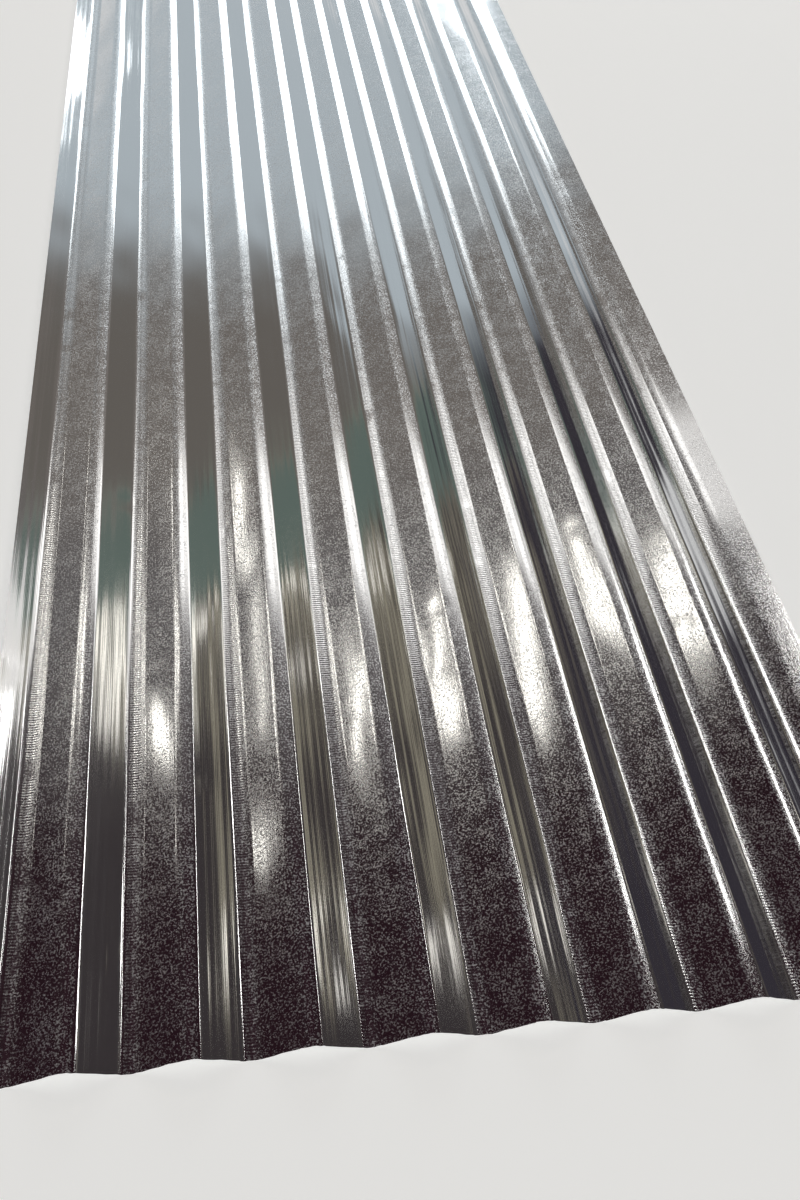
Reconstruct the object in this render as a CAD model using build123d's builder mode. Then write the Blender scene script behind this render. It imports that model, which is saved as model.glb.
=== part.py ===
from build123d import *
import os
from math import acos, atan2, cos, hypot, radians, tan

# Corrugated galvanised roofing sheet: one piece of cold-rolled steel, rolled into a wave of
# round crests and valleys joined by straight sides. X runs across the waves, Y along them
# and Z is up. The sheet rests on its valleys at Z = 0, and the origin is at the middle of
# its outline there. All lengths are millimetres.

# Driving dimensions
sheet_length = 2400.0       # cut length, along the waves
thickness = 0.4             # steel and zinc together
pitch = 76.0                # one valley to the next
depth = 15.5                # underside of a valley to the top of a crest
bend_radius = 16.0          # middle of the steel, at every crest and valley
full_waves = 8              # crests with a valley on both sides

# The first edge ends high on a falling side
first_edge_run = 26.5       # from the edge to the middle of the first valley

# The last edge ends in a flange, which is bent flatter than the sides
flange_fold_run = 15.0      # from the middle of the last valley to the fold
flange_fold_radius = 3.0    # middle of the steel
flange_run = 26.5           # from the fold to the edge, level with the floor
flange_rise_angle = 6.0     # degrees from level


def side_angle():
    """Slope of the straight sides, in radians, that gives the wave its depth at its pitch.

    Half a pitch times the tangent of the angle is the rise between two sharp corners. It
    is the depth of the steel's middle plus what the rounding takes off both corners.
    """
    middle_depth = depth - thickness
    half_pitch = pitch / 2
    rounding = 2 * bend_radius
    lean = atan2(half_pitch, rounding - middle_depth)
    return lean - acos(rounding / hypot(half_pitch, rounding - middle_depth))


slope = side_angle()
corner_offset = bend_radius * (1 / cos(slope) - 1)      # sharp corner beyond the rounding
valley_corner = thickness / 2 - corner_offset           # heights of the sharp corners
crest_corner = depth - thickness / 2 + corner_offset

# Middle line of the steel, as sharp corners that are rounded afterwards
first_edge_height = valley_corner + first_edge_run * tan(slope)
last_valley = full_waves * pitch
fold_height = valley_corner + flange_fold_run * tan(slope)
flange_rise = flange_run * tan(radians(flange_rise_angle))

corners = [(-first_edge_run, first_edge_height)]
for wave in range(full_waves):
    corners.append((wave * pitch, valley_corner))
    corners.append(((wave + 0.5) * pitch, crest_corner))
corners.append((last_valley, valley_corner))
corners.append((last_valley + flange_fold_run, fold_height))
corners.append((last_valley + flange_fold_run + flange_run, fold_height + flange_rise))

wave_bends = [bend_radius] * (2 * full_waves + 1)
middle = (corners[0][0] + corners[-1][0]) / 2
centred = [(x - middle, z) for x, z in corners]

with BuildPart() as corrugated_sheet:
    with BuildSketch(Plane.XZ.offset(-sheet_length / 2)) as section:
        with BuildLine() as outline:
            wave_line = FilletPolyline(
                *centred, radius=wave_bends + [flange_fold_radius], mode=Mode.PRIVATE
            )
            top = offset(wave_line, thickness / 2, side=Side.LEFT, closed=False, mode=Mode.ADD)
            under = offset(wave_line, thickness / 2, side=Side.RIGHT, closed=False, mode=Mode.ADD)
            # The top runs back from the last edge to the first, so the cut edges join it so
            Line(top.wire() @ 1, under.wire() @ 0)
            Line(top.wire() @ 0, under.wire() @ 1)
        make_face()
    extrude(amount=sheet_length)
corrugated_sheet.part.label = "corrugated_sheet"

os.makedirs("parts", exist_ok=True)
export_step(corrugated_sheet.part, "parts/corrugated_sheet.step")
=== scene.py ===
import bpy
import numpy as np
from bpy.props import FloatProperty, FloatVectorProperty, IntProperty, PointerProperty
from math import atan2, cos, pi, radians, sin, tan
from mathutils import Matrix, Vector


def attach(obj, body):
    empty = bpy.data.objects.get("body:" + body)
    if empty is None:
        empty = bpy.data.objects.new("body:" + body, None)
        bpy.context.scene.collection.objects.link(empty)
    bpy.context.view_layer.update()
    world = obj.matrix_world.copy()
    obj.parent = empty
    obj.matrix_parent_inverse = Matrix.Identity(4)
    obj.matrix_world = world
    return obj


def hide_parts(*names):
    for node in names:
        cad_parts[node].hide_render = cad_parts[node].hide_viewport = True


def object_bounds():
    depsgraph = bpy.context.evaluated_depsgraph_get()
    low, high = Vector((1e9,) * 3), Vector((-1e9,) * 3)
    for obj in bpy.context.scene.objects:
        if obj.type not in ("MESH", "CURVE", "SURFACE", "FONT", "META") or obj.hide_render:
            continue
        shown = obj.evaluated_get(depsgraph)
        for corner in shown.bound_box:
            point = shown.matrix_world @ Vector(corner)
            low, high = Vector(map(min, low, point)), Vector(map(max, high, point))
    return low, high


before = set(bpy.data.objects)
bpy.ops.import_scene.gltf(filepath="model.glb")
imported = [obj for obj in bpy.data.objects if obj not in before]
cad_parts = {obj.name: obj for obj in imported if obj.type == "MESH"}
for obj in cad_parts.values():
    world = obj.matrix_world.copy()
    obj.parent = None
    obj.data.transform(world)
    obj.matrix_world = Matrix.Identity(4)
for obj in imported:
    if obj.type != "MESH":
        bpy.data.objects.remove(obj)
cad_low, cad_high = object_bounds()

bl_info = {
    "name": "Corrugated Sheet",
    "version": (1, 0, 0),
    "blender": (4, 5, 0),
    "location": "View3D > Sidebar > Corrugated Sheet",
    "description": "Makes a galvanised corrugated sheet with its spangle, marks and dents, and its studio",
    "category": "Object",
}

SHEET_NODE = "corrugated_sheet"
SHEET_LENGTH = cad_high.y - cad_low.y
MM = 0.001


class SheetSize(bpy.types.PropertyGroup):
    """The section of the sheet, which is the same along its whole length."""

    pitch: FloatProperty(
        name="Pitch", description="One valley to the next", default=0.076, unit="LENGTH")
    depth: FloatProperty(
        name="Depth", description="Underside of a valley to the top of a crest",
        default=0.0155, unit="LENGTH")
    bend_radius: FloatProperty(
        name="Bend radius", description="Middle of the steel, at every crest and valley",
        default=0.016, unit="LENGTH")
    thickness: FloatProperty(
        name="Thickness", description="Steel and zinc together", default=0.0004, unit="LENGTH")
    full_waves: IntProperty(
        name="Waves", description="Crests with a valley on both sides", default=8, min=1)
    first_edge_run: FloatProperty(
        name="First edge", description="From the plain edge to the middle of the first valley",
        default=0.0265, unit="LENGTH")
    fold_run: FloatProperty(
        name="Fold", description="From the middle of the last valley to the flange's fold",
        default=0.015, unit="LENGTH")
    fold_round: FloatProperty(
        name="Fold rounding", description="Half the width of the rounded fold",
        default=0.0005, unit="LENGTH")
    flange_run: FloatProperty(
        name="Flange", description="From the fold to the flanged edge", default=0.0265, unit="LENGTH")
    flange_rise: FloatProperty(
        name="Flange rise", description="Slope of the flange", default=radians(6), subtype="ANGLE")


class SheetFinish(bpy.types.PropertyGroup):
    """The zinc, its grain, the marks that rolling left, the painted highlights along the bends and how
    uneven the sheet is.
    """

    # Painted highlight: the middles of crests and valleys and the scuffed lines at the bends' ends take
    # this brighter colour in place of highlights; the zinc grains take it too, as their own lighter tone.
    highlight_and_grain: FloatVectorProperty(
        name="Burnished zinc", description="Colour along the middle of crests and valleys",
        subtype="COLOR", default=(0.93, 0.94, 0.95), min=0, max=1)
    zinc: FloatVectorProperty(
        name="Zinc", description="Colour of the rest of the sheet", subtype="COLOR",
        default=(0.74, 0.745, 0.75), min=0, max=1)
    grain: FloatProperty(
        name="Grain", description="Size of the zinc's grains", default=0.0013, unit="LENGTH")
    grain_height: FloatProperty(
        name="Grain height", description="How far the grains stand out", default=0.00002,
        unit="LENGTH")
    chatter: FloatProperty(
        name="Chatter", description="Distance between the marks across the valleys",
        default=0.0022, unit="LENGTH")
    # Half the width of the painted highlight along the middle of a bend.
    middle_highlight_width: FloatProperty(
        name="Burnish width", description="Half the width that the rolls burnished",
        default=0.0017, unit="LENGTH")
    # Place of the scuffed line beside a bend, which also carries a painted highlight.
    scuff_highlight_place: FloatProperty(
        name="Scuff place", description="From the middle of a bend to the scuffed line beside it",
        default=0.0063, unit="LENGTH")
    flat_run: FloatProperty(
        name="Flat run", description="Half the width of the flatter middle of a bend",
        default=0.0052, unit="LENGTH")
    tight_run: FloatProperty(
        name="Tight run", description="From the middle of a bend to where its tight end ends",
        default=0.0071, unit="LENGTH")
    flatness: FloatProperty(
        name="Flatness", description="1 makes the middle of a bend quite flat, 0 leaves it round",
        default=0.65, min=0, max=1)
    bend_shift: FloatProperty(
        name="Bend shift", description="From a valley's lowest line to the middle of its marks",
        default=0.0015, unit="LENGTH")
    # Half the width of the scuffed line with its painted highlight.
    scuff_highlight_width: FloatProperty(
        name="Scuff width", description="Half the width of a scuffed line", default=0.0006,
        unit="LENGTH")
    smoothest: FloatProperty(
        name="Smoothest", description="Roughness of the zinc where it has no mark", default=0.085)
    waviness: FloatProperty(
        name="Waviness", description="How far the sides bulge and dish", default=0.00017,
        unit="LENGTH")


class Studio(bpy.types.PropertyGroup):
    """The floor, the lamps and the camera."""

    floor: FloatVectorProperty(
        name="Floor", description="Colour of the floor", subtype="COLOR",
        default=(0.80, 0.80, 0.79), min=0, max=1)
    floor_glow: FloatProperty(
        name="Floor glow", description="What the floor adds for the camera and for reflections",
        default=0.46)
    middle_strip: FloatProperty(
        name="Middle strip", description="Brightness of the strip above the middle", default=1.45)
    windows: FloatProperty(
        name="Windows", description="Brightness of the windows to the left and right", default=5.0)
    long_strip: FloatProperty(
        name="Long strip", description="Brightness of the strip along the sheet", default=8.0)
    end_light: FloatProperty(
        name="End light", description="Brightness of the panel beyond the far end", default=2.5)
    fill_light: FloatProperty(
        name="Fill light", description="Brightness of the panel behind the camera", default=1.2)
    camera_place: FloatVectorProperty(
        name="Camera", description="Where the camera stands", subtype="TRANSLATION",
        default=(-0.1754, -1.4192, 0.7169))
    camera_target: FloatVectorProperty(
        name="Target", description="What the camera looks at", subtype="TRANSLATION",
        default=(-0.0108, -0.8248, 0.0))
    camera_roll: FloatProperty(
        name="Roll", description="How far the camera leans to the left",
        default=radians(9.69), subtype="ANGLE")
    camera_lens: FloatProperty(
        name="Lens", description="Focal length in millimetres", default=32.35)


def side_slope(size):
    """Slope of the straight sides: the one that gives the wave its depth at its pitch.

    Two bends of one radius, half a pitch apart and the depth of the steel's middle apart
    in height, are joined by their common inner tangent.
    """
    rounding = 2 * size.bend_radius
    fall = rounding - (size.depth - size.thickness)
    half = size.pitch / 2
    return np.arctan2(half, fall) - np.arccos(rounding / np.hypot(half, fall))


def places_across(size):
    """Places across the sheet, from the first edge to the last, measured from the first valley.

    A bend is cut at equal angles. A side is cut at equal distances, with one more cut close to
    each of its ends, so that its slope begins there. One wave goes from a valley over a crest,
    and is repeated at the pitch. The edges' own parts are added before and after.
    """
    bend_steps, side_steps, flange_steps, beside = 3, 4, 5, 1.0 * MM
    half = size.pitch / 2
    bend = size.bend_radius * np.sin(np.linspace(0, side_slope(size), bend_steps + 1))
    near, far = bend[-1] + beside, half - bend[-1] - beside
    rise = np.concatenate([bend, np.linspace(near, far, side_steps + 1), half - bend[:0:-1]])
    fall = size.pitch - np.append(rise, half)[::-1]
    wave = np.concatenate([rise, fall[:-1]])
    waves = (wave + size.pitch * np.arange(size.full_waves)[:, None]).ravel()
    first = np.concatenate([bend[1:], np.linspace(near, size.first_edge_run, side_steps)])
    fold = size.fold_run + size.fold_round * np.linspace(-1, 1, 3)
    flange = np.linspace(fold[-1], size.fold_run + size.flange_run, flange_steps + 1)[1:]
    last = np.concatenate([bend, [near], fold, flange])
    return np.concatenate([-first[::-1], waves, size.full_waves * size.pitch + last])


def height_across(x, size):
    """Height of the steel's middle at a place across, above the undersides of the valleys.

    Near a valley it is a circle's arc, and near a crest the same arc turned over. Between
    them it is a straight line of the side's slope. Past the fold it is the flange's line,
    and the two lines are joined there by a parabola that is as wide as the fold's rounding.
    """
    slope, radius = side_slope(size), size.bend_radius
    half, run = size.pitch / 2, radius * sin(side_slope(size))
    top = size.depth - size.thickness
    from_valley = np.abs((x + half) % size.pitch - half)
    from_crest = half - from_valley
    arc = radius - np.sqrt(radius ** 2 - np.minimum(from_valley, run) ** 2)
    cap = top - radius + np.sqrt(radius ** 2 - np.minimum(from_crest, run) ** 2)
    line = radius * (1 - cos(slope)) + (from_valley - run) * tan(slope)
    z = np.where(from_valley < run, arc, np.where(from_crest < run, cap, line))
    past = x - size.full_waves * size.pitch - size.fold_run
    side = radius * (1 - cos(slope)) + (past + size.fold_run - run) * tan(slope)
    bent = tan(slope) - tan(size.flange_rise)
    width = 2 * size.fold_round
    ease = np.clip(past + size.fold_round, 0, width)
    flange = side - bent * (ease ** 2 / (2 * width) + np.maximum(past - size.fold_round, 0))
    return np.where(past > -size.fold_round, flange, z) + size.thickness / 2


def places_along(length):
    """Places along the sheet, closest together at the near end, where the camera is.

    The distance from the near end grows exponentially, so that the last step is a few
    times as long as the first.
    """
    steps, growth = 226, 7.0
    share = np.linspace(0, 1, steps + 1)
    return length * ((growth ** share - 1) / (growth - 1) - 0.5)


DENTS = (
    # name, then place across and along, half width across and along and depth, in millimetres
    ("crescent", 20, -846, 8, 5, 0.30),
    ("crescent_foot", 6, -905, 9, 14, -0.16),
    ("dimple", -218, -896, 5, 6, 0.35),
    ("right_dent", 238, -868, 7, 9, 0.30),
    ("tip", 166, -751, 6, 5, 0.25),
    ("tick", 52, -862, 5, 5, 0.22),
    ("left_nick_far", -246, -625, 5, 6, 0.20),
    ("left_nick", -246, -699, 5, 6, 0.25),
    ("left_nick_near", -246, -1124, 6, 8, 0.25),
    ("hook", -188, -996, 5, 9, 0.22),
    ("small_mark", -67, -942, 4, 4, 0.16),
    ("edge_ding", -331, -886, 6, 14, 0.35),
    ("far_scuff", 190, 90, 12, 40, 0.30),
    ("far_dish", -150, 320, 14, 60, 0.30),
    ("plain_dish", 92, 700, 12, 45, 0.35),
    ("plain_knock", -60, 930, 8, 10, 0.35),
)


def unevenness(x, y, z, size, finish):
    """How far the steel's middle stands out of its true section, along its normal.

    Each side bulges by its own amount, and more or less along it: sines of several
    wavelengths with random phases, times a window that is one in the middle of the side and
    zero on crests and valleys. The falling sides bulge more. A side also twists: the same with
    a window that goes from one sign to the other across it. Each dent is a bell: the
    exponential of minus its squared distance.
    """
    falling_share, twist_share = 1.8, 0.8
    random = np.random.default_rng(7)
    side = np.clip(np.floor(2 * x / size.pitch) + 1, 0, 2 * size.full_waves + 1).astype(int)
    lengths = np.array([0.42, 0.23, 0.13, 0.075])
    shares = np.array([0.6, 0.6, 0.5, 0.14])
    phases = random.uniform(0, 2 * pi, (2, side.max() + 1, len(lengths)))
    steady = random.uniform(0.1, 1.1, side.max() + 1)
    steady[::2] *= falling_share
    across_side = (z - size.depth / 2) / (size.depth / 2)
    window = 1 - across_side ** 2
    bulge, twist = (np.sin(2 * pi * y[:, None, None] / lengths + p[side][None]) @ shares for p in phases)
    out = finish.waviness * window[None] * (steady[side][None] + bulge)
    out += finish.waviness * twist_share * (window * across_side)[None] * twist
    centred = x + cad_low.x + size.first_edge_run
    for _, across, along, half_width, half_length, depth in DENTS:
        off_x = (centred - across * MM) / (half_width * MM)
        off_y = (y - along * MM) / (half_length * MM)
        out -= depth * MM * np.exp(-off_x[None] ** 2 - off_y[:, None] ** 2)
    return out


def grid_faces(rows, columns, start, flip):
    """Four-sided faces of a grid of vertices that are numbered along its rows from start."""
    corner = (np.arange(rows - 1)[:, None] * columns + np.arange(columns - 1)).ravel() + start
    faces = np.stack([corner, corner + 1, corner + columns + 1, corner + columns], 1)
    return faces[:, ::-1] if flip else faces


def rim_faces(loop, below):
    """Faces of the cut edges: each joins two neighbours of the rim to the two below them."""
    ahead = np.roll(loop, -1)
    return np.stack([ahead, loop, loop + below, ahead + below], 1)


def sheet_mesh(size, finish):
    """The sheet as one closed mesh: a grid over its top, the same under it, and four cut edges.

    A point is the middle of the steel, moved by the unevenness and half the thickness along
    the section's normal. The ends are cut a little unevenly.
    """
    uneven_cut, sharp_edge = 0.5 * MM, radians(50)
    x = places_across(size)
    y = places_along(SHEET_LENGTH)
    z = height_across(x, size)
    lean = np.arctan(np.gradient(z, x))
    out = unevenness(x, y, z, size, finish)
    centred = x + cad_low.x + size.first_edge_run
    random = np.random.default_rng(11)
    ragged = random.uniform(0, uneven_cut, x.size)
    along = np.repeat(y[:, None], x.size, 1)
    along[0] += ragged
    along[-1] -= ragged[::-1]
    layers = []
    for offset in (size.thickness / 2, -size.thickness / 2):
        moved = out + offset
        across = np.clip(centred - moved * np.sin(lean), cad_low.x, cad_high.x)
        height = np.clip(z + moved * np.cos(lean), 0, size.depth)
        layers.append(np.stack([across, along, height], -1).reshape(-1, 3))
    count = x.size * y.size
    index = np.arange(count).reshape(y.size, x.size)
    rim = np.concatenate([index[0, :-1], index[:-1, -1], index[-1, :0:-1], index[:0:-1, 0]])
    faces = np.concatenate([
        grid_faces(y.size, x.size, 0, False),
        grid_faces(y.size, x.size, count, True),
        rim_faces(rim, count),
    ])
    mesh = bpy.data.meshes.new(SHEET_NODE)
    mesh.from_pydata(np.concatenate(layers), [], faces)
    mesh.validate()
    lay_maps(mesh, x, y, z, lean, size)
    mesh.shade_smooth()
    mesh.set_sharp_from_angle(angle=sharp_edge)
    return mesh


def lay_maps(mesh, x, y, z, lean, size):
    """Where each vertex is on the flat sheet, how steeply it leans and how high it lies.

    The map's first number is the distance across along the steel and its second the
    distance along, in metres. Lean is 1 on a rising side and -1 on a falling one. Level is 1
    on a crest and -1 in a valley.
    """
    steps = np.hypot(np.diff(x), np.diff(z))
    distance = np.concatenate([[0], np.cumsum(steps)])
    flat = np.stack(np.broadcast_arrays(distance[None], y[:, None]), -1).reshape(-1, 2)
    flat = np.concatenate([flat, flat])
    loops = np.empty(len(mesh.loops), np.int32)
    mesh.loops.foreach_get("vertex_index", loops)
    layer = mesh.uv_layers.new(name="flat")
    layer.uv.foreach_set("vector", flat[loops].astype(np.float32).ravel())
    level = (z - size.depth / 2) / (size.depth / 2 - size.thickness / 2)
    for name, values in (("lean", lean / side_slope(size)), ("level", level)):
        attribute = mesh.attributes.new(name, "FLOAT", "POINT")
        over_length = np.tile(values, 2 * y.size)
        attribute.data.foreach_set("value", over_length.astype(np.float32))


class Shader:
    """Adds nodes to a material or the world in plain words. Each call gives back its output."""

    def __init__(self, tree):
        self.tree = tree
        self.tree.nodes.clear()

    def node(self, kind, **settings):
        made = self.tree.nodes.new(kind)
        for name, value in settings.items():
            setattr(made, name, value)
        return made

    def feed(self, socket, value):
        if isinstance(value, bpy.types.NodeSocket):
            self.tree.links.new(value, socket)
        else:
            socket.default_value = value

    def math(self, operation, first, second=0.0, third=0.0):
        made = self.node("ShaderNodeMath", operation=operation)
        for socket, value in zip(made.inputs, (first, second, third)):
            self.feed(socket, value)
        return made.outputs[0]

    def product(self, *factors):
        result = factors[0]
        for factor in factors[1:]:
            result = self.math("MULTIPLY", result, factor)
        return result

    def ease(self, value, low, high, to_low=0.0, to_high=1.0):
        """Goes smoothly from to_low to to_high as value goes from low to high."""
        made = self.node("ShaderNodeMapRange", interpolation_type="SMOOTHSTEP")
        for name, given in (("Value", value), ("From Min", low), ("From Max", high),
                            ("To Min", to_low), ("To Max", to_high)):
            self.feed(made.inputs[name], given)
        return made.outputs["Result"]

    def between(self, value, low, high, soft):
        """One between low and high, with soft borders."""
        return self.product(
            self.ease(value, low - soft, low + soft),
            self.ease(value, high - soft, high + soft, 1.0, 0.0))

    def mix(self, share, first, second):
        made = self.node("ShaderNodeMix", data_type="RGBA")
        self.feed(made.inputs["Factor"], share)
        for socket, value in ((made.inputs["A"], first), (made.inputs["B"], second)):
            given = value if isinstance(value, bpy.types.NodeSocket) else (*value[:3], 1.0)
            colour = [s for s in made.inputs if s.type == "RGBA" and s.name == socket.name][0]
            self.feed(colour, given)
        return [s for s in made.outputs if s.type == "RGBA"][0]

    def noise(self, vector, scale, detail, roughness):
        made = self.node("ShaderNodeTexNoise")
        self.feed(made.inputs["Vector"], vector)
        for name, given in (("Scale", scale), ("Detail", detail), ("Roughness", roughness)):
            self.feed(made.inputs[name], given)
        return made.outputs["Fac"]

    def stretch(self, vector, scale):
        made = self.node("ShaderNodeMapping")
        self.feed(made.inputs["Vector"], vector)
        self.feed(made.inputs["Scale"], scale)
        return made.outputs["Vector"]

    def attribute(self, name):
        made = self.node("ShaderNodeAttribute", attribute_name=name)
        return made.outputs["Fac"]

    def bump(self, height, distance, normal=None):
        made = self.node("ShaderNodeBump")
        self.feed(made.inputs["Height"], height)
        self.feed(made.inputs["Distance"], distance)
        if normal is not None:
            self.feed(made.inputs["Normal"], normal)
        return made.outputs["Normal"]


def bend_rounding(make, distance, flat_run, tight_run):
    """How much lower a bend's middle is than its ends, as a height that is zero past them.

    Half the squared distance up to flat_run. From there to tight_run its slope goes back to
    zero in a straight line.
    """
    tight = tight_run - flat_run
    inner = make.math("MINIMUM", distance, flat_run)
    outer = make.math("SUBTRACT", tight_run, distance)
    outer = make.math("MINIMUM", make.math("MAXIMUM", outer, 0.0), tight)
    parabola = make.math("SUBTRACT", make.product(inner, inner, 0.5), flat_run ** 2 / 2)
    return make.math("SUBTRACT", parabola, make.product(outer, outer, flat_run / (2 * tight)))


def bend_distances(make, size, finish, across):
    """Distances across, from the middle of the nearest valley's marks and of the nearest crest.

    The flange has no crest, so it counts as a metre farther away.
    """
    half, valley = size.pitch / 2, cad_low.x + size.first_edge_run
    from_valley, from_crest = (
        make.math("ABSOLUTE", make.math("WRAP", make.math("SUBTRACT", across, middle), half, -half))
        for middle in (valley + finish.bend_shift, valley + half))
    fold = cad_high.x - size.flange_run
    on_flange = make.ease(across, fold, fold + MM)
    return from_valley, make.math("ADD", from_crest, on_flange)


def zinc_grains(make, place, fine, aside, grainy_place):
    """One on a grain of zinc and zero beside it. The grains gather in patches, the straight sides
    have a few more than the bends, and the falling sides have hardly any."""
    fewest, side_start, side_end = 0.06, 6.5 * MM, 8.0 * MM
    grain_start, grain_full = 0.50, 0.62
    patches = make.noise(place, scale=55.0, detail=2.0, roughness=0.6)
    strewn = make.math("ADD", fine, make.ease(patches, 0.3, 0.7, -0.03, 0.03))
    strewn = make.math("ADD", strewn, make.ease(aside, side_start, side_end, 0.0, 0.01))
    share = make.math("ADD", fewest, make.product(grainy_place, 1 - fewest))
    return make.product(make.ease(strewn, grain_start, grain_full), share)


def chatter_marks(make, finish, place, along, lean, level):
    """A ripple along the valleys, from -1 to 1, which wanders a little and fades here and there."""
    wander_by, highest, lowest = 3.0, -0.72, -0.82
    wander = make.product(make.noise(place, scale=60.0, detail=1.0, roughness=0.5), wander_by)
    turns = make.product(along, 2 * pi / finish.chatter)
    ripple = make.math("SINE", make.math("ADD", turns, wander))
    in_valley = make.product(make.ease(level, highest, lowest), make.between(lean, -0.6, 0.7, 0.15))
    fading = make.noise(place, scale=25.0, detail=2.0, roughness=0.5)
    return make.product(ripple, in_valley, make.ease(fading, 0.28, 0.45))


def rolled_lines(make, place, aside, lean):
    """Fine lines that the rolls left along the sheet, with even ridges on the falling sides."""
    along_share, ridge, ridge_share = 0.004, 1.2 * MM, 0.4
    drawn_out = make.stretch(place, (1.0, along_share, 1.0))
    lines = make.noise(drawn_out, scale=900.0, detail=1.0, roughness=0.6)
    ridges = make.math("SINE", make.product(aside, 2 * pi / ridge))
    falling = make.between(lean, -0.98, -0.25, 0.1)
    return make.math("ADD", lines, make.product(ridges, falling, ridge_share))


def broad_streaks(make, place, lean):
    """Shallow streaks along the falling sides."""
    along_share = 0.012
    drawn_out = make.stretch(place, (1.0, along_share, 1.0))
    streaks = make.noise(drawn_out, scale=230.0, detail=0.0, roughness=0.5)
    return make.product(streaks, make.ease(lean, -0.5, -0.85))


def bend_relief(make, size, finish, from_valley, from_crest):
    """How far the bends stand out of their arcs, in metres. They are flatter in their middle and
    tighter at their ends."""
    crest, valley = (
        bend_rounding(make, distance, finish.flat_run, finish.tight_run)
        for distance in (from_crest, from_valley))
    return make.product(make.math("SUBTRACT", crest, valley), finish.flatness / size.bend_radius)


def zinc_material(size, finish):
    """Galvanised steel. The middle of every crest and valley is painted brighter, a painted highlight,
    and made a little rougher; the rolls left the zinc beside it satin. A thin scuffed line at both
    ends of every bend is rougher and is painted brighter too, also a painted highlight. Zinc grains
    cover the rising sides, the flange and, more thinly, the bends. The falling sides are smooth, with
    lines and streaks along them. The valleys have chatter marks across them."""
    material = bpy.data.materials.new("galvanised_steel")
    material.use_nodes = True
    make = Shader(material.node_tree)
    place = make.node("ShaderNodeTexCoord").outputs["Object"]
    split = make.node("ShaderNodeSeparateXYZ")
    make.feed(split.inputs[0], place)
    lean, level = make.attribute("lean"), make.attribute("level")
    from_valley, from_crest = bend_distances(make, size, finish, split.outputs["X"])
    aside = make.math("MINIMUM", from_valley, from_crest)

    satin_start, satin_soft = finish.middle_highlight_width * 1.3, 0.4 * MM
    # Painted highlight along the middle of every crest and valley, which is also a little rougher.
    middle = make.ease(aside, finish.middle_highlight_width * 1.6, finish.middle_highlight_width * 0.8)
    satin = make.between(aside, satin_start, finish.flat_run, satin_soft)
    # Scuffed line at both ends of a bend: a little rougher, and painted brighter as a painted highlight.
    from_scuff_highlight = make.math("ABSOLUTE", make.math("SUBTRACT", aside, finish.scuff_highlight_place))
    scuff_and_highlight = make.ease(from_scuff_highlight, finish.scuff_highlight_width, finish.scuff_highlight_width * 0.4, 0.0, 0.5)

    over_crest = make.ease(level, -0.01, 0.01, 0.0, 0.65)
    grainy_side = make.ease(make.math("ADD", lean, over_crest), -0.15, 0.15)
    grainy_place = make.math("MAXIMUM", grainy_side, make.product(satin, 0.6))
    fine = make.noise(place, scale=1 / finish.grain, detail=2.0, roughness=0.7)
    grains = zinc_grains(make, place, fine, aside, grainy_place)
    chatter = chatter_marks(make, finish, place, split.outputs["Y"], lean, level)

    roughness = finish.smoothest
    for mark, rougher in (
        (grains, 0.25),
        (make.ease(chatter, 0.1, 0.9), 0.11),
        (satin, 0.06),
        (scuff_and_highlight, 0.08),
        (middle, 0.03),
    ):
        roughness = make.math("ADD", roughness, make.product(mark, rougher))
    normal = None
    for relief, distance in (
        (bend_relief(make, size, finish, from_valley, from_crest), 1.0),
        (make.product(fine, grainy_side), finish.grain_height),
        (chatter, 0.018 * MM),
        (rolled_lines(make, place, aside, lean), 0.012 * MM),
        (broad_streaks(make, place, lean), 0.16 * MM),
    ):
        normal = make.bump(relief, distance, normal)

    # Painted highlights on the bends' middles and scuffed lines, plus the grains' own lighter tone.
    bright = make.math("MAXIMUM", make.math("MAXIMUM", middle, scuff_and_highlight), make.product(grains, 0.8))
    shader = make.node("ShaderNodeBsdfPrincipled")
    shader.inputs["Metallic"].default_value = 1.0
    make.feed(shader.inputs["Base Color"], make.mix(bright, finish.zinc, finish.highlight_and_grain))
    make.feed(shader.inputs["Roughness"], roughness)
    make.feed(shader.inputs["Normal"], normal)
    output = make.node("ShaderNodeOutputMaterial")
    make.feed(output.inputs["Surface"], shader.outputs[0])
    return material


def floor_material(colour, glow):
    """A plain pale floor, which keeps its shadows and shows pale to the camera and in metal."""
    material = bpy.data.materials.new("floor")
    material.use_nodes = True
    make = Shader(material.node_tree)
    shader = make.node("ShaderNodeBsdfPrincipled")
    shader.inputs["Base Color"].default_value = (*colour, 1.0)
    shader.inputs["Roughness"].default_value = 0.9
    shader.inputs["Specular IOR Level"].default_value = 0.2
    path = make.node("ShaderNodeLightPath")
    seen = make.math("MAXIMUM", path.outputs["Is Camera Ray"], path.outputs["Is Glossy Ray"])
    seen = make.math("MAXIMUM", seen, path.outputs["Is Transmission Ray"])
    shader.inputs["Emission Color"].default_value = (*colour, 1.0)
    make.feed(shader.inputs["Emission Strength"], make.product(seen, glow))
    output = make.node("ShaderNodeOutputMaterial")
    make.feed(output.inputs["Surface"], shader.outputs[0])
    return material


ROOM = {
    "overhead": (0.020, 0.008, 0.012),
    "ahead": (0.13, 0.12, 0.12),
    "farther_ahead": (0.175, 0.155, 0.14),
    "far_end": (0.50, 0.56, 0.60),
    "behind": (0.42, 0.42, 0.41),
    "horizon": (0.80, 0.80, 0.80),
    "right_near": (0.42, 0.40, 0.35),
    "right_khaki": (0.33, 0.30, 0.23),
    "right_gap": (0.045, 0.038, 0.04),
    "right_teal": (0.13, 0.17, 0.15),
    "right_brown": (0.15, 0.135, 0.12),
    "right_dark": (0.04, 0.035, 0.045),
    "for_camera": (0.62, 0.62, 0.61),
}


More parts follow.
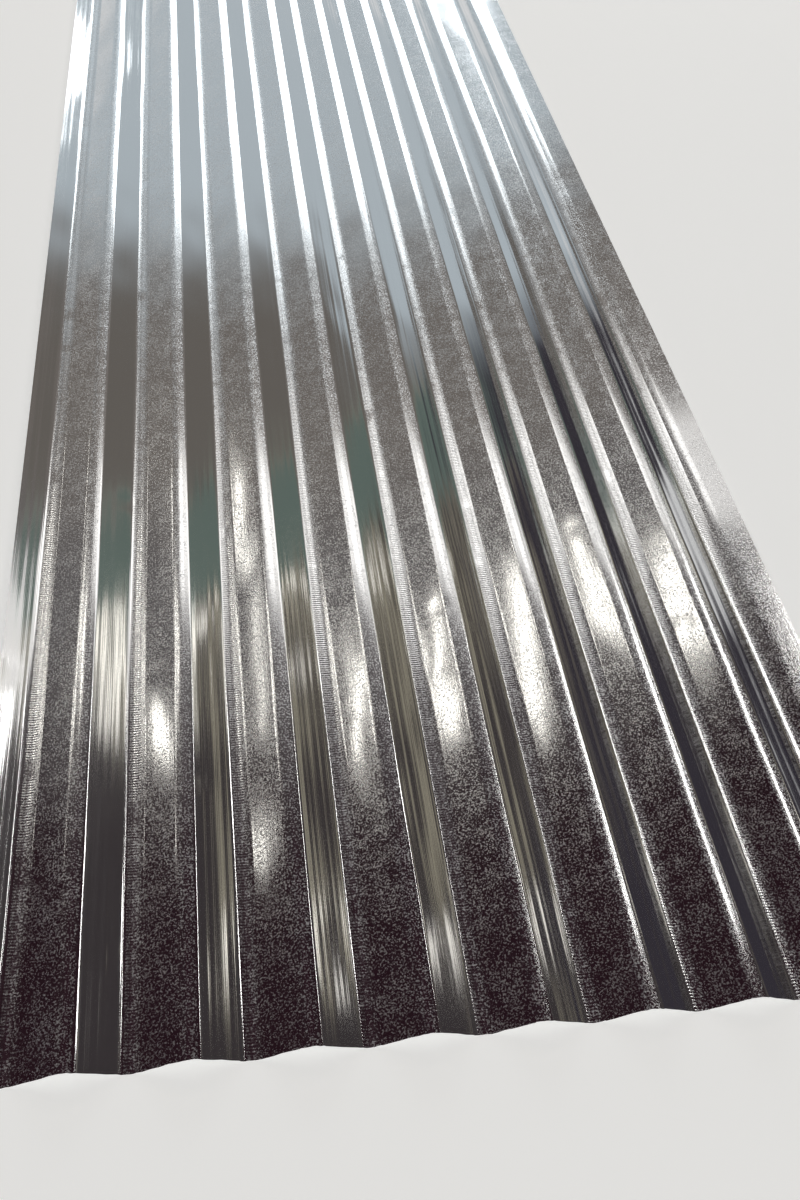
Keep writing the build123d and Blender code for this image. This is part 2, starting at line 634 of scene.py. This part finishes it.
def right_of_room(make, ahead, aside):
    """Colour of the room's right side: khaki with dark gaps along the sheet, then a teal band
    that slants, brown beyond it, and dark low down."""
    colour = make.mix(
        make.ease(aside, radians(42), radians(56)), ROOM["right_near"], ROOM["right_khaki"])
    banded = make.node("ShaderNodeCombineXYZ")
    make.feed(banded.inputs["X"], make.product(aside, 16.0))
    make.feed(banded.inputs["Y"], make.product(ahead, 3.5))
    clouds = make.noise(banded.outputs[0], scale=1.0, detail=2.0, roughness=0.5)
    gaps = make.ease(make.math("SUBTRACT", clouds, make.product(ahead, 0.45)), 0.18, 0.30)
    slant = make.math("SUBTRACT", ahead, make.product(aside, 0.15))
    for share, name in (
        (gaps, "right_gap"),
        (make.between(slant, 0.51, 0.585, 0.008), "right_teal"),
        (make.ease(slant, 0.58, 0.595), "right_brown"),
        (make.ease(aside, radians(69), radians(76)), "right_dark"),
    ):
        colour = make.mix(share, colour, ROOM[name])
    return colour


def studio_world():
    """A room that is dark overhead, browner and then bluer towards its far end, grey behind the
    camera and pale all round its horizon. The camera itself sees it plain and pale. Ahead is how
    far a direction points along the sheet, and aside its angle to the right of straight up."""
    world = bpy.data.worlds.new("studio")
    world.use_nodes = True
    bpy.context.scene.world = world
    make = Shader(world.node_tree)
    split = make.node("ShaderNodeSeparateXYZ")
    make.feed(split.inputs[0], make.node("ShaderNodeTexCoord").outputs["Generated"])
    across, along, up = split.outputs[:3]
    ahead = make.math("ABSOLUTE", along)
    aside = make.math("ARCTAN2", across, make.math("MAXIMUM", up, 0.001))
    colour = make.mix(make.ease(ahead, 0.44, 0.64), ROOM["overhead"], ROOM["ahead"])
    colour = make.mix(make.ease(ahead, 0.66, 0.74), colour, ROOM["farther_ahead"])
    to_right = make.ease(aside, radians(38), radians(42))
    colour = make.mix(to_right, colour, right_of_room(make, ahead, aside))
    sooner = make.ease(aside, radians(62), radians(68), 0.0, 0.06)
    far_end = make.ease(make.math("ADD", ahead, sooner), 0.82, 0.87)
    colour = make.mix(far_end, colour, ROOM["far_end"])
    colour = make.mix(make.ease(along, 0.0, -0.35), colour, ROOM["behind"])
    ring = make.ease(across, 0.2, 0.5, 0.20, 0.05)
    ring = make.math("ADD", ring, make.product(make.between(ahead, 0.55, 0.66, 0.02), 0.05))
    colour = make.mix(make.ease(make.math("SUBTRACT", ring, up), 0.0, 0.03), colour, ROOM["horizon"])
    camera_ray = make.node("ShaderNodeLightPath").outputs["Is Camera Ray"]
    background = make.node("ShaderNodeBackground")
    make.feed(background.inputs["Color"], make.mix(camera_ray, colour, ROOM["for_camera"]))
    output = make.node("ShaderNodeOutputWorld")
    make.feed(output.inputs["Surface"], background.outputs[0])


CEILING = 2.5
WINDOWS = (
    # place across, near end, far end, width and how far the far end is aside, all in metres,
    # then the share of the brightness
    (-3.90, 1.75, 2.20, 0.26, -0.30, 0.9),
    (-3.00, 1.50, 2.40, 0.08, 0.25, 0.9),
    (-3.22, 2.85, 3.55, 0.18, 0.10, 1.0),
    (-3.25, 0.95, 1.15, 0.14, 0.0, 0.9),
    (-2.40, 1.07, 1.62, 0.12, 0.35, 1.0),
    (-1.90, 1.00, 1.62, 0.13, 0.26, 1.0),
    (-1.47, 0.87, 1.52, 0.11, 0.22, 1.0),
    (-1.08, 1.02, 1.62, 0.08, -0.10, 1.0),
    (-0.78, 0.83, 1.30, 0.09, 0.10, 1.0),
    (2.40, 1.37, 2.19, 0.20, 0.20, 0.27),
    (2.95, 2.20, 2.45, 0.12, 0.20, 0.27),
    (3.80, 2.94, 3.34, 0.12, 0.30, 0.27),
    (3.78, 2.40, 2.60, 0.12, 0.15, 0.27),
    (4.92, 3.62, 4.29, 0.15, 0.45, 0.27),
    (3.55, 0.50, 0.92, 0.16, 0.30, 0.27),
    (4.62, 0.72, 1.00, 0.20, 0.35, 0.27),
    (6.05, 1.15, 1.58, 0.35, 0.50, 0.27),
)


def soft_lamp(name, place, aim, width, height, brightness, colour):
    """A rectangular lamp of an even brightness, which faces a point."""
    light = bpy.data.lights.new(name, "AREA")
    light.shape = "RECTANGLE"
    light.size, light.size_y = width, height
    light.color = colour
    light.energy = brightness * pi * width * height
    lamp = bpy.data.objects.new(name, light)
    lamp.location = place
    lamp.rotation_euler = (Vector(aim) - Vector(place)).to_track_quat("-Z", "Y").to_euler()
    lamp.visible_camera = False
    bpy.context.scene.collection.objects.link(lamp)
    return lamp


def ceiling_strip(name, start, end, width, brightness, colour):
    """A strip light that hangs level and faces down, from one point of the ceiling to another."""
    start, end = Vector((*start, CEILING)), Vector((*end, CEILING))
    middle, run = (start + end) / 2, end - start
    strip = soft_lamp(name, middle, middle - Vector((0, 0, 1)), run.length, width, brightness, colour)
    strip.rotation_euler = (0, 0, atan2(run.y, run.x))


class OBJECT_OT_corrugated_sheet(bpy.types.Operator):
    """Make the sheet with its dents, cut edges and zinc"""

    bl_idname = "object.make_corrugated_sheet"
    bl_label = "Make Corrugated Sheet"

    def execute(self, context):
        scene = context.scene
        mesh = sheet_mesh(scene.sheet_size, scene.sheet_finish)
        sheet = bpy.data.objects.new("corrugated_sheet_finished", mesh)
        scene.collection.objects.link(sheet)
        mesh.materials.append(zinc_material(scene.sheet_size, scene.sheet_finish))
        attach(sheet, "root")
        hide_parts(SHEET_NODE)
        return {"FINISHED"}


class SCENE_OT_sheet_studio(bpy.types.Operator):
    """Make the floor, the lamps and the camera"""

    bl_idname = "scene.make_sheet_studio"
    bl_label = "Make Studio"

    def execute(self, context):
        studio = context.scene.sheet_studio
        self.make_floor(studio)
        studio_world()
        self.make_lamps(studio)
        self.make_camera(context.scene, studio)
        return {"FINISHED"}

    def make_floor(self, studio):
        reach = 40.0
        corners = [(-reach, -reach, 0), (reach, -reach, 0), (reach, reach, 0), (-reach, reach, 0)]
        mesh = bpy.data.meshes.new("floor")
        mesh.from_pydata(corners, [], [(0, 1, 2, 3)])
        mesh.materials.append(floor_material(studio.floor, studio.floor_glow))
        floor = bpy.data.objects.new("floor", mesh)
        bpy.context.scene.collection.objects.link(floor)

    def make_lamps(self, studio):
        white, warm, cool = (1.0, 0.98, 0.95), (1.0, 0.96, 0.88), (0.93, 0.98, 1.0)
        left, change, right = (-0.40, 1.67), (1.25, 1.67), (1.90, 1.67)
        bright, dimmer, strip_width = studio.middle_strip, studio.middle_strip * 0.55, 0.8
        ceiling_strip("middle_strip", left, change, strip_width, bright, white)
        ceiling_strip("strip_end", change, right, strip_width, dimmer, white)
        for number, (x, near_y, far_y, width, lean, share) in enumerate(WINDOWS):
            near, far = (x - lean / 2, near_y), (x + lean / 2, far_y)
            ceiling_strip(f"window_{number}", near, far, width, studio.windows * share, warm)
        ceiling_strip("long_strip", (1.50, -0.15), (1.62, 1.5), 0.12, studio.long_strip, white)
        soft_lamp("end_light", (0.28, 4.0, 1.85), (0.28, 0.0, 1.85), 1.3, 1.3, studio.end_light, cool)
        soft_lamp("fill_light", (0.2, -3.4, 2.6), (0, -0.6, 0), 3.6, 2.4, studio.fill_light, white)

    def make_camera(self, scene, studio):
        data = bpy.data.cameras.new("camera")
        data.lens = studio.camera_lens
        data.clip_start = 0.01
        camera = bpy.data.objects.new("camera", data)
        place, target = Vector(studio.camera_place), Vector(studio.camera_target)
        look = (target - place).to_track_quat("-Z", "Y").to_matrix()
        turned = look @ Matrix.Rotation(studio.camera_roll, 3, "Z")
        camera.matrix_world = Matrix.Translation(place) @ turned.to_4x4()
        scene.collection.objects.link(camera)
        scene.camera = camera
        scene.view_settings.view_transform = "Standard"


class VIEW3D_PT_corrugated_sheet(bpy.types.Panel):
    """Lists the sizes, the finish and the studio, with a button for each operator"""

    bl_idname = "VIEW3D_PT_corrugated_sheet"
    bl_label = "Corrugated Sheet"
    bl_space_type = "VIEW_3D"
    bl_region_type = "UI"
    bl_category = "Corrugated Sheet"

    def draw(self, context):
        layout, scene = self.layout, context.scene
        for group, operator in (
            (scene.sheet_size, None),
            (scene.sheet_finish, OBJECT_OT_corrugated_sheet),
            (scene.sheet_studio, SCENE_OT_sheet_studio),
        ):
            for name in group.__annotations__:
                layout.prop(group, name)
            if operator:
                layout.operator(operator.bl_idname)


GROUPS = {"sheet_size": SheetSize, "sheet_finish": SheetFinish, "sheet_studio": Studio}
CLASSES = (
    *GROUPS.values(),
    OBJECT_OT_corrugated_sheet,
    SCENE_OT_sheet_studio,
    VIEW3D_PT_corrugated_sheet,
)


def register():
    for item in CLASSES:
        bpy.utils.register_class(item)
    for name, group in GROUPS.items():
        setattr(bpy.types.Scene, name, PointerProperty(type=group))


def unregister():
    for name in GROUPS:
        delattr(bpy.types.Scene, name)
    for item in reversed(CLASSES):
        bpy.utils.unregister_class(item)


def main():
    register()
    bpy.ops.object.make_corrugated_sheet()
    bpy.ops.scene.make_sheet_studio()


if __name__ == "__main__":
    main()
